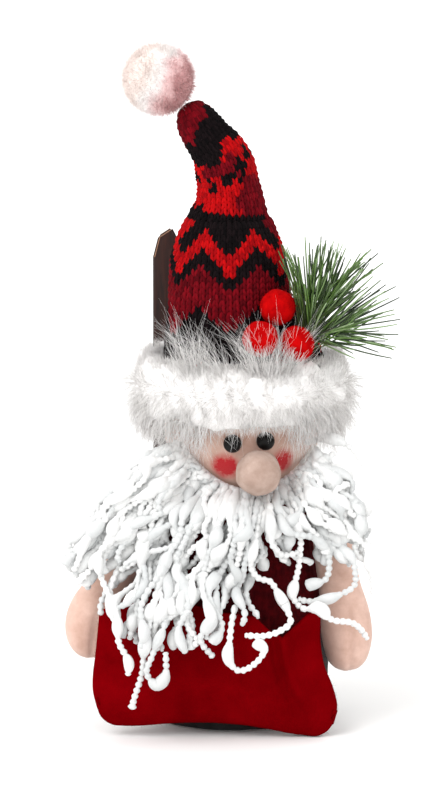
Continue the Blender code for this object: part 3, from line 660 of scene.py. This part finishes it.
def feltBall(name, node, body, felt, fuzz, seed, fuzzLength=1.3):
    low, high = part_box(node)
    middle = np.array((low + high) / 2)
    radius = (high.z - low.z) / 2
    core = roundForm(middle, [radius * 0.975] * 3, roughMm=(5.0, 0.5), seed=seed)
    out = ballPoints(fuzz, int(seed * 10))
    draw = np.random.default_rng(int(seed * 100))
    ways = out * 0.5 + draw.normal(0, 0.55, out.shape)
    lengths = fuzzLength * mm * draw.uniform(0.4, 1.0, fuzz)
    bend = draw.normal(0, 0.5, out.shape)
    paths, radii = hairs(middle + out * radius * 0.95, ways, lengths, bend, 0.14, 4)
    makePiece(name, [core, strands(paths, radii, 3)], (felt,), body, (node,))


makePompom()
makeBrim()
berryNodes = ("berry_top", "berry_front", "berry_side")
for number, node in enumerate(berryNodes):
    feltBall("felted_" + node, node, "berries", "berryFelt", 420, 1.3 + number)
feltBall("felted_nose", "nose", "root", "noseFelt", 380, 7.3, 0.9)
print("pompom, brim, berries and nose felted")


# Head, eyes, arms and body

def makeHead():
    low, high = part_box("head_skin")
    middle = np.array([(low.x + high.x) / 2, (low.y + high.y) / 2, high.z - (high.x - low.x) / 2])
    radius = (high.x - low.x) / 2
    points, faceSets, which = roundForm(middle, [radius * 0.992] * 3, 72, 48, (16.0, 0.5), 3.0)
    piece = makePiece("stuffedHead", [(points, faceSets, which)], ("brushedFleece",), "root",
                      ("head_skin",))
    for name in ("eye_left", "eye_right"):
        low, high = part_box(name)
        radii = [(high.x - low.x) / 2 * s for s in (1.0, 0.94, 1.0)]
        bead = roundForm((low + high) / 2, radii, 32, 22, (4.0, 0.02))
        makePiece("bead_" + name, [bead], ("blackBead",), "root", (name,))


def sleeveRings(line, around, ribs=0, ribDepth=0.0, depthRatio=0.75, lift=0.0):
    # line rows are (x, y, z, half width), in mm, from the shoulder down
    way = unit(np.gradient(line[:, :3], axis=0))
    across = unit(np.cross((0.0, 1.0, 0.0), way))
    deep = np.cross(way, across)
    turn = 2 * math.pi * np.arange(around) / around
    wide = (line[:, 3] + lift)[:, None] * np.ones(around)
    wide = wide + ribDepth * np.abs(np.sin(turn * ribs / 2))[None] if ribs else wide
    out = across[:, None] * np.cos(turn)[:, None] + deep[:, None] * (depthRatio * np.sin(turn))[:, None]
    return (line[:, None, :3] + out * wide[..., None]) * mm


arms = {
    # cuff height, then x, y, z and half width from the shoulder to the end of the mitten, all in mm
    "right": {"cuff": 84.0,
              "rows": ((40.0, -20.0, 93.0, 6.0), (41.2, -20.8, 83.0, 8.2), (43.4, -21.6, 70.0, 8.9),
                       (45.6, -22.0, 59.0, 9.6), (47.4, -22.0, 49.0, 10.7), (48.0, -22.0, 39.0, 10.9),
                       (48.0, -22.0, 30.5, 8.8), (48.0, -22.0, 26.4, 5.4), (48.0, -22.0, 24.8, 1.6))},
    "left": {"cuff": 78.0,
             "rows": ((-38.4, -20.0, 93.0, 6.0), (-42.2, -20.8, 83.0, 8.2), (-49.4, -21.6, 70.5, 8.9),
                      (-56.0, -22.0, 60.5, 9.7), (-60.4, -22.0, 50.5, 10.8), (-62.0, -22.0, 41.5, 10.6),
                      (-62.6, -22.0, 35.0, 8.4), (-62.9, -22.0, 31.7, 5.2), (-63.0, -22.0, 30.4, 1.6))},
}


def makeArm(side):
    line = smoothLine(arms[side]["rows"], count=64)
    rings = sleeveRings(line, 48)
    flat = rings.reshape(-1, 3)
    middle = np.repeat(line[:, :3] * mm, 48, 0)
    outs = unit(flat - middle)
    flat = roughen(flat, outs, 13.0, 0.7, 5.0)
    # a soft vertical crease down the front of the mitten, and a pinch at the wrist
    crease = np.exp(-((flat[:, 0] - middle[:, 0] - 1.5 * mm) / (1.3 * mm)) ** 2)
    crease = crease * (flat[:, 1] < middle[:, 1])
    fade = np.clip((58 * mm - flat[:, 2]) / (12 * mm), 0, 1)
    flat = flat - outs * (crease * fade * 0.9 * mm)[:, None]
    pinch = np.exp(-((flat[:, 2] - 64 * mm) / (4 * mm)) ** 2)
    flat = flat - outs * (pinch * 0.5 * mm)[:, None]
    hand = makePiece("mitten_" + side, [skin(flat.reshape(rings.shape))], ("brushedFleece",),
                     "arm_" + side, ("hand_" + side,))

    low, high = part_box("sleeve_" + side)
    shoulder = np.array(arms[side]["rows"][0])
    top = np.array([shoulder[0], shoulder[1], high.z / mm, 2.6])
    cuff = line[np.argmin(np.abs(line[:, 2] - arms[side]["cuff"]))]
    rows = [top, top + (0, 0, -1.6, 4.8), shoulder + (0, 0, 0.6, 3.6), shoulder * 0.55 + cuff * 0.45,
            cuff + (0, 0, 0, 2.6)]
    rows[3][3] = 11.0  # the sleeve is fullest halfway
    line = smoothLine(rows, count=46)
    outer = sleeveRings(line, 96, 30, 0.5, 0.82)
    inner = sleeveRings(line[6:], 96, 0, 0.0, 0.82, -1.3)
    makePiece("knitSleeve_" + side, [skin(np.concatenate([outer, inner[::-1]]))], ("shadedSweaterWool",),
              "arm_" + side, ("sleeve_" + side,))


def turnedWall(name, profile, cloth, node, ribs=0, ribDepth=0.0):
    # a turned wall with a lining, closed all round; profile is (radius, height) in mm, top to bottom
    look = {"wall": 1.5, "depthShare": 0.85, "lumps": (14.0, 0.8)}
    line = smoothLine(profile, count=70)
    turn = 2 * math.pi * np.arange(240) / 240

    def wallRings(inset, ribbed):
        radius = np.maximum((line[:, 0] - inset)[:, None] * np.ones(len(turn)), 0.5)
        if ribbed:
            radius = radius + ribDepth * (np.abs(np.sin(turn * ribs / 2)) - 0.6)[None]
        return np.stack([radius * np.cos(turn), radius * look["depthShare"] * np.sin(turn),
                         np.repeat(line[:, 1:], len(turn), 1)], -1) * mm

    outer = wallRings(0.0, ribs > 0)
    shape = outer.shape
    flat = outer.reshape(-1, 3)
    outer = roughen(flat, unit(flat * (1.0, 1.0, 0.0)), *look["lumps"], 4.0).reshape(shape)
    rings = np.concatenate([outer, wallRings(look["wall"], False)[::-1]])[::-1]
    piece = makePiece(name, [skin(rings, wrap=True)], (cloth,), "root", (node,))


def makeBody():
    sweater = ((16.5, 96.0), (25, 93.8), (32, 89), (36.8, 78), (39.6, 64), (42.2, 50), (42.2, 40.2))
    # the sweater's dark red is painted shade behind the beard
    turnedWall("knitSweater", sweater, "shadedSweaterWool", "sweater", 78, 0.7)
    base = ((39.2, 52), (40.2, 40), (40.8, 27), (40.2, 13), (38.2, 4.6), (35.4, 0.5), (30.0, 0.15))
    # the dark base under the bag is partly painted shade: the contact shadow there
    turnedWall("feltBase", base, "charcoalFelt", "lower_body")


makeHead()
for side in ("left", "right"):
    makeArm(side)
makeBody()
print("head, arms and body stuffed")


# Felt bag

bag = {
    "left": -60.0, "right": 43.0, "bottom": 1.0, "backY": -36.6, "felt": 1.8, "bulge": 10.0, "corner": 9.0,
    "notch": 19.3, "backLower": 4.0, "lint": 500,
    # x and z in mm along the cut top, with its notch right of the middle
    "topEdge": ((-57.6, 54.2), (-55, 56.6), (-48, 59.3), (-42, 62.0), (-34, 63.0), (-22, 61), (-8, 57.5),
                (3.7, 55.0), (8.4, 54.4), (11.4, 51.6), (19.3, 45.0), (28.1, 51.4), (33.0, 55.2),
                (36.4, 53.9)),
    # the left corner hangs clear of the floor and the right one rests on it: share across, and z
    "lowEdge": ((0.0, 5.4), (0.15, 4.9), (0.3, 5.9), (0.42, 6.4), (0.55, 5.9), (0.68, 4.4), (0.8, 1.8),
                (0.88, 0.6), (1.0, 0.5)),
    # share of the height, and x
    "leftEdge": ((0.0, -58.8), (0.12, -60.4), (0.3, -60.6), (0.6, -59.2), (1.0, -57.6)),
    "rightEdge": ((0.0, 42.4), (0.1, 43.6), (0.3, 41.4), (0.5, 37.9), (0.75, 36.2), (1.0, 36.4)),
}
topLeft = bag["topEdge"][0][0]
topWidth = bag["topEdge"][-1][0] - topLeft


def edgeAt(name, at, count=80):
    line = smoothLine(bag[name], count=count)
    return np.interp(at, line[:, 0], line[:, 1])


def bagTop(u):
    return edgeAt("topEdge", topLeft + topWidth * u, 200)


def bagOutline(u, v, lower=0.0):
    # x and z of the cut felt: rounded lower corners, and sides that lean in towards the top
    fromSide = np.minimum(u, 1 - u) * (bag["right"] - bag["left"])
    dip = np.maximum(bag["corner"] ** 2 - np.maximum(bag["corner"] - fromSide, 0) ** 2, 0)
    bottom = edgeAt("lowEdge", u) + bag["corner"] - np.sqrt(dip)
    z = bottom + (bagTop(u) - lower - bottom) * v
    left, right = edgeAt("leftEdge", v), edgeAt("rightEdge", v)
    return left + (right - left) * u, z


def bagSwell(u, v):
    # how far the bag swells, 0 to 1, by the place across it and by the height: both ends go back to a seam
    return 1.0 - np.abs(2 * u - 1) ** 3.2, np.minimum(1, np.sqrt(np.maximum(v, 0) / 0.35))


def bagFront(u, v):
    # folds fan down from the notch
    x, z = bagOutline(u, v)
    side, rise = bagSwell(u, v)
    notchU = (bag["notch"] - topLeft) / topWidth
    fanU = notchU + 0.01 + 0.09 * (1 - v)
    fan = 5.6 * np.exp(-(((u - fanU) / 0.023) ** 2)) - 3.4 * np.exp(-(((u - fanU + 0.05) / 0.026) ** 2))
    second = 3.4 * np.exp(-(((u - 0.54 - 0.14 * (1 - v)) / 0.028) ** 2))
    third = 1.3 * np.exp(-(((u - 0.28 + 0.05 * (1 - v)) / 0.05) ** 2))
    lip = 1.2 * np.exp(-((1 - v) / 0.06) ** 2)
    y = bag["backY"] - 2 * bag["felt"] - 0.4 - (bag["bulge"] - 1.0) * side * rise
    y = y - (fan + second + third) * side * (0.25 + 0.75 * v) - lip * side
    return np.stack([x, y, z], -1)


def bagBack(u, v):
    x, z = bagOutline(u, v, bag["backLower"])
    return np.stack([x * 0.985, np.full_like(x, bag["backY"]), z], -1)


def feltSheet(name, place, facing, across, up, node):
    us, vs = np.meshgrid(np.linspace(0, 1, across), np.linspace(0, 1, up))
    points = place(us, vs) * mm
    grid = np.arange(across * up).reshape(up, across)
    quads = np.stack([grid[:-1, :-1], grid[:-1, 1:], grid[1:, 1:], grid[1:, :-1]], -1).reshape(-1, 4)
    if facing > 0:
        quads = quads[:, ::-1]
    shape = points.shape
    points = points.reshape(-1, 3)
    points = roughen(points, np.tile((0.0, facing, 0.0), (len(points), 1)), 11.0, 0.5, 6.0)
    piece = makePiece(name, [(points, [quads], 0)], ("pressedFelt",), "root", (node,))
    wall = piece.modifiers.new("feltThickness", "SOLIDIFY")
    wall.thickness = bag["felt"] * mm
    wall.offset = -1.0
    return piece, points.reshape(shape)


def makeBag():
    front, points = feltSheet("bagFrontFelt", bagFront, -1.0, 120, 64, "bag_front")
    feltSheet("bagBackFelt", bagBack, 1.0, 60, 32, "bag_back")
    # lint that stands off the cut edges
    draw = np.random.default_rng(31)
    count = bag["lint"]
    rim = np.concatenate([points[-1], points[:, 0], points[:, -1], points[0]])
    roots = rim[draw.integers(0, len(rim), count)] + draw.normal(0, 0.2 * mm, (count, 3))
    roots[:, 1] += draw.uniform(0.2, 1.5, count) * mm
    middle = points.reshape(-1, 3).mean(0)
    ways = unit((roots - middle) * (1, 0, 1)) + draw.normal(0, 0.6, roots.shape)
    lengths = draw.uniform(0.4, 1.0, count) * mm
    paths, radii = hairs(roots, ways, lengths, draw.normal(0, 0.4, roots.shape), 0.08, 4)
    paths[..., 2] = np.maximum(paths[..., 2], 0.3 * mm)
    makePiece("bagLint", [strands(paths, radii, 3)], ("pressedFelt",), "root")


makeBag()
print("bag cut")


# Yarn beard

beard = {
    # falls of yarn, from the left temple round to the right one, that the loose strands run between:
    # x and z in mm, from the tape that they are sewn to
    "falls": (
        ((-22, 124), (-38, 120), (-54, 104), (-67, 86), (-73, 70)),
        ((-19, 120), (-36, 111), (-52, 94), (-63, 77), (-70, 61)),
        ((-15, 116), (-29, 104), (-43, 86), (-53, 67), (-58, 48)),
        ((-9, 111), (-20, 98), (-30, 81), (-37, 58), (-40, 34)),
        ((-3, 107.5), (-9, 94), (-17, 76), (-23, 56), (-26, 35)),
        ((4, 105.5), (0, 92), (-5, 76), (-8, 58), (-9, 38)),
        ((11, 105.5), (9, 94), (6, 81), (5, 64), (6, 45)),
        ((18, 108), (22, 97), (27, 89), (31, 82), (34, 75)),
        ((27, 113), (36, 101), (44, 91), (50, 80), (53, 66)),
        ((33.6, 122), (43, 116), (50, 106), (54, 94), (57, 79)),
    ),
    "perFall": (20, 19, 16, 12, 9, 7, 6, 10, 20),
    "thin": 1.4,
    "beadPitch": 2.6,
    "furthest": 67.0,  # how far forward the yarn may come
    # strands that lie in front, placed one by one: x and z in mm
    "front": (
        ((28, 106), (37, 97), (47, 89), (54, 84), (58, 73), (59, 60)),
        ((21.5, 104), (26, 93), (28, 86.5), (26.7, 78), (25, 69), (24.5, 62.5), (29, 57), (36, 58), (41, 54),
         (49.5, 51), (56, 43)),
        ((41, 84), (49.5, 78), (50, 67), (43, 61.6), (32, 60), (26, 61)),
        ((13, 102), (15, 95), (16, 86.5), (19, 81), (27, 82)),
        ((3.4, 102), (2.2, 89), (1, 75.6), (-3, 69), (-4.3, 60)),
        ((11, 102), (8, 88), (6.5, 78), (10, 71), (15, 69), (18.5, 64), (22, 57), (22.4, 53), (18, 51),
         (11.6, 49), (4.3, 49)),
        ((0, 60), (-2, 52), (-3, 46), (-2.2, 38.5), (1.3, 34.6), (6.5, 36.3), (11.6, 42.8), (8.6, 47)),
        ((-40, 98), (-52, 88), (-58, 78), (-52, 62), (-50, 57), (-49.6, 50), (-49, 45), (-45, 37.5),
         (-44.5, 31.5)),
        ((-22, 90), (-31, 75), (-34.8, 60), (-37.4, 44), (-38.9, 35), (-41, 27.7), (-43, 20), (-43.7, 16.8)),
        ((-26, 62), (-31, 50), (-35, 42), (-37, 34), (-33, 28), (-29, 33), (-30, 42)),
        ((30, 124), (41, 127), (52, 121), (58, 110), (59.5, 98), (58.5, 85)),
        ((17, 103), (22, 92), (33, 88), (40, 79), (38, 70), (30, 66)),
        ((21, 109), (25, 101), (29, 94), (36, 87), (38, 80)),
        ((24, 112), (29, 103), (34, 96), (42, 90)),
        ((-12, 106), (-20, 90), (-24, 76), (-20, 62), (-24, 52), (-20, 42)),
        ((-5, 104), (-9, 86), (-14, 70), (-10, 58), (-14, 48), (-9, 40)),
    ),
}


def beardDepth(x, z):
    # how far forward, in mm, the thing that the yarn lies on comes: head, chest, arms or bag
    head = 34.0 ** 2 - (z - 128.0) ** 2 - (x - 3.0) ** 2
    depth = np.sqrt(np.maximum(head, 0.0))
    chest = 37.0 - 0.012 * np.maximum(np.abs(x) - 12, 0) ** 2
    depth = np.maximum(depth, chest * np.clip((104 - z) / 10, 0, 1))
    # beside the head the yarn hangs far enough forward for an arm to swing up behind it
    beside = np.clip((np.abs(x) - 24) / 8, 0, 1)
    depth = np.maximum(depth, beside * np.interp(z, (106, 128), (32.8, 14.0)))
    u = np.clip((x - bag["left"]) / (bag["right"] - bag["left"]), 0, 1)
    v = np.clip((z - bag["bottom"]) / (bagTop(u) - bag["bottom"]), 0, 1)
    side, rise = bagSwell(u, v)
    front = 2 * bag["felt"] + 2.0 - bag["backY"] + bag["bulge"] * side * rise
    onBag = (x > bag["left"] - 1) & (x < bag["right"] + 1) & (z < bagTop(u) + 1)
    return np.maximum(depth, np.where(onBag, front, 0.0))


def slubRadii(run, draw):
    # thin beaded yarn with a fat smooth slub every so often
    radii = beard["thin"] * (0.4 + 0.68 * np.abs(np.sin(math.pi * run / beard["beadPitch"])) ** 0.7)
    at = draw.uniform(0.0, 16.0)
    while at < run[-1]:
        length = draw.uniform(8.0, 13.0)
        fat = draw.uniform(2.2, 3.1)
        inside = np.clip(1 - ((run - at - length / 2) / (length / 2)) ** 2, 0, 1)
        radii = np.maximum(radii, fat * inside ** 0.62)
        at += length + draw.uniform(7.0, 22.0)
    radii[0] *= 0.7
    radii[-1] *= 0.55
    return radii


def yarnStrand(route, layer, draw, wiggle):
    line = smoothLine(route, step=0.65)
    steps = np.linspace(0, 1, len(line))
    phase = draw.uniform(0, 6.28, 4)
    sway = wiggle * np.minimum(1, steps * 3)
    line = line + np.stack([sway * (np.sin(steps * 11 + phase[0]) + 0.5 * np.sin(steps * 23 + phase[1])),
                            0.6 * sway * np.sin(steps * 13 + phase[2])], -1)
    depth = beardDepth(line[:, 0], line[:, 1])
    # under the chin the yarn springs forward before it falls
    spring = 7.0 * np.exp(-((line[:, 1] - 92) / 12) ** 2) * np.exp(-((line[:, 0] - 8) / 22) ** 2)
    run = np.concatenate([[0], np.cumsum(np.linalg.norm(np.diff(line, axis=0), axis=1))])
    radii = slubRadii(run, draw)
    held = depth + radii + spring
    # the yarn comes forward slowly before it lies over an edge, because it is stiff
    reach = 9
    padded = np.pad(held, 2 * reach, mode="edge")
    highest = np.array([padded[k:k + 2 * reach + 1].max() for k in range(len(held) + 2 * reach)])
    held = np.convolve(highest, np.ones(2 * reach + 1) / (2 * reach + 1), mode="valid")
    held = held + layer * np.minimum(1, steps * 5) + 0.5 * np.sin(steps * 17 + phase[3])
    held = np.minimum(held, beard["furthest"])
    points = np.stack([line[:, 0], -held, line[:, 1]], -1) * mm
    return strands(points[None], radii[None] * mm, 8)


def makeBeard():
    draw = np.random.default_rng(77)
    parts = []
    falls = [np.array(f, float) for f in beard["falls"]]
    for index, count in enumerate(beard["perFall"]):
        for number in range(count):
            share = (number + draw.uniform(0.1, 0.9)) / count
            route = falls[index] * (1 - share) + falls[index + 1] * share
            keep = draw.uniform(0.66, 1.05)
            line = smoothLine(route, count=24)
            line = line[:max(6, int(24 * keep))] if keep < 1 else line
            # most ends curl a little to one side, as cut yarn does
            curl = draw.normal(0, 3.5)
            ends = np.linspace(0, 1, len(line)) ** 4
            line = line + np.stack([curl * ends, 1.2 * np.abs(curl) * ends], -1)
            layer = draw.uniform(0.0, 9.0) if index < 6 else draw.uniform(0, 5)
            parts.append(yarnStrand(line[::3], layer, draw, draw.uniform(1.2, 3.4)))
    for route in beard["front"]:
        parts.append(yarnStrand(route, draw.uniform(6.0, 9.0), draw, 0.5))
    # short loops sewn close together along the tape that frames the face
    for turn in np.linspace(-54.0, 54.0, 34):
        lift = math.radians(-44.0 + 34.0 * (turn / 54.0) ** 2)
        bearing = math.radians(8.0 + turn)
        at = np.array([3.0 + 35.5 * math.sin(bearing) * math.cos(lift), 129.2 + 35.5 * math.sin(lift)])
        outward = unit(at - np.array([8.0, 122.0]))
        tip = at + outward * draw.uniform(5, 11) + draw.normal(0, 2.0, 2)
        bow = (at + tip) / 2 + np.array([outward[1], -outward[0]]) * draw.normal(0, 3.0)
        parts.append(yarnStrand((at, bow, tip), draw.uniform(2.0, 5.0), draw, 0.3))
    makePiece("yarnBeard", parts, ("slubYarn",), "root",
              ("beard_left", "beard_centre", "beard_right"))


makeBeard()
print("beard sewn on")


# Pine pick

def makeSprig():
    look = {"foot": (29.0, -21.0, 160.5), "top": (41.0, -25.0, 193.0), "needles": 230, "needleWidth": 0.72,
            "reach": 35.0, "berryClear": 8.6, "hatClear": 1.6, "tries": 4000}
    draw = np.random.default_rng(9)
    foot, top = np.array(look["foot"]), np.array(look["top"])
    stem = smoothLine((foot, foot * 0.5 + top * 0.5 + (-1.0, 0, 1.0), top), count=24)
    twigs = [stem,
             smoothLine((stem[6], stem[6] + (6, -3, 3), stem[6] + (14, -4, 5)), count=16),
             smoothLine((stem[5], stem[5] + (0.5, -1, 10), stem[5] + (0, -2, 22)), count=16)]
    berries = [np.array(sum(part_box(node), Vector()) / 2) / mm for node in berryNodes]
    hatLower = np.array(hat["lowerRows"])
    paths, radii = [], []
    for _ in range(look["tries"]):
        if len(paths) == look["needles"]:
            break
        twig = twigs[draw.choice(3, p=(0.5, 0.27, 0.23))]
        at = draw.integers(1, len(twig) - 1)
        way = unit(twig[at + 1] - twig[at - 1])
        share = at / len(twig)
        off = unit(np.cross(way, draw.normal(0, 1, 3)) * (1.0, 0.6, 1.0))
        spread = math.radians(draw.uniform(20, 58) * (1 - 0.45 * share))
        start = way * math.cos(spread) + off * math.sin(spread)
        length = look["reach"] * draw.uniform(0.55, 1.0) * (1 - 0.25 * share)
        t = np.linspace(0, 1, 7)[:, None]
        bend = way * 0.16 + draw.normal(0, 0.06, 3)
        path = twig[at] + (start * t + bend * t ** 2) * length
        clear = all(np.linalg.norm(path - berry, axis=1).min() > look["berryClear"] for berry in berries)
        hatReach = np.interp(path[:, 2], hatLower[:, 1], hatLower[:, 2]) + look["hatClear"]
        hatX = np.interp(path[:, 2], hatLower[:, 1], hatLower[:, 0])
        clear = clear and (np.hypot(path[:, 0] - hatX, path[:, 1]) > hatReach).all()
        inside = path[:, 0].min() > 17 and path[:, 0].max() < 70
        inside = inside and path[:, 2].min() > 161 and path[:, 2].max() < 212
        if clear and inside:
            paths.append(path)
            radii.append(look["needleWidth"] / 2 * np.array([0.8, 1.0, 1.0, 1.0, 0.95, 0.85, 0.6]))
    parts = [strands(np.array(paths) * mm, np.array(radii) * mm, 4)]
    for twig in twigs:
        parts.append(strands(twig[None] * mm, np.full((1, len(twig)), 0.9 * mm), 8))
    makePiece("pineNeedles", parts, ("needlePvc",), "sprig", ("pine_sprig",))


# Plank and what is inside

def makePlank():
    form = bmesh.new()
    form.from_mesh(nodes["back_plank"].data)
    bmesh.ops.remove_doubles(form, verts=form.verts, dist=1e-6)
    bmesh.ops.dissolve_limit(form, angle_limit=0.02, verts=form.verts, edges=form.edges)
    bmesh.ops.bevel(form, geom=[e for e in form.edges if e.calc_face_angle(0) > 0.3], offset=0.9 * mm,
                    segments=3, affect="EDGES", clamp_overlap=True)
    mesh = bpy.data.meshes.new("stainedPlank")
    form.to_mesh(mesh)
    form.free()
    mesh.materials.append(finish["stainedPine"])
    mesh.materials.append(finish["plankLitSlope"])
    high = max(v.co.z for v in mesh.vertices)
    for face in mesh.polygons:  # painted highlight: lighter wood on the top's left slope, which faces the key light
        if face.normal.x < -0.25 and face.normal.z > 0.2 and face.center.z > high - 18 * mm:
            face.material_index = 1
    addPiece("stainedPlank", mesh, "root", ("back_plank",))


def finishInside():
    inside = {
        "polyesterFill": ("body_fill", "head_fill", "hat_fill_lower", "hat_fill_upper", "arm_fill_left",
                          "arm_fill_right"),
        "greyBoard": ("base_board",),
        "pelletCotton": ("weight_bag",),
        "cottonTape": ("beard_backing",),
        "galvanisedWire": ("hat_wire_lower", "hat_wire_upper", "berry_wire_top", "berry_wire_front",
                           "berry_wire_side"),
    }
    for stuff, names in inside.items():
        for name in names:
            nodes[name].data.materials.clear()
            nodes[name].data.materials.append(finish[stuff])


makeSprig()
makePlank()
finishInside()
print("pick, plank and inside done")
